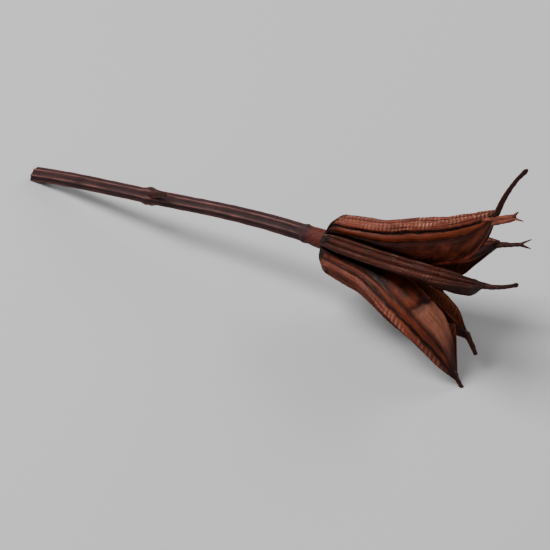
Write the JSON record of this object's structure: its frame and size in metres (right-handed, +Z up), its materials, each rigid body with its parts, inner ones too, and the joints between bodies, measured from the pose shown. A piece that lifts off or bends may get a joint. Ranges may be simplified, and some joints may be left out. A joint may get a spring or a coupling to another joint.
{
  "type": "nigella seed pod",
  "caption": "Dried nigella seed pod on a cut stem, lying on its side: spreading ribbed follicles with hooked beaks, open along their seams, in dyed red-brown.",
  "frame": {"origin": "on the surface that the pod lies on, under the middle of its bounding box", "axes": "+X along the stem from its cut end towards the beaks, +Z up"},
  "size_m": [0.083, 0.0198, 0.0336],
  "materials": {
    "husk": "dried papery husk dyed mahogany brown, satin on the ribs, darker in the seams and on the beaks",
    "stalk": "dried ribbed stalk dyed dull brown, matt"
  },
  "bodies": {
    "root": {"pod": "husk", "stem": "stalk"}
  },
  "joints": []
}
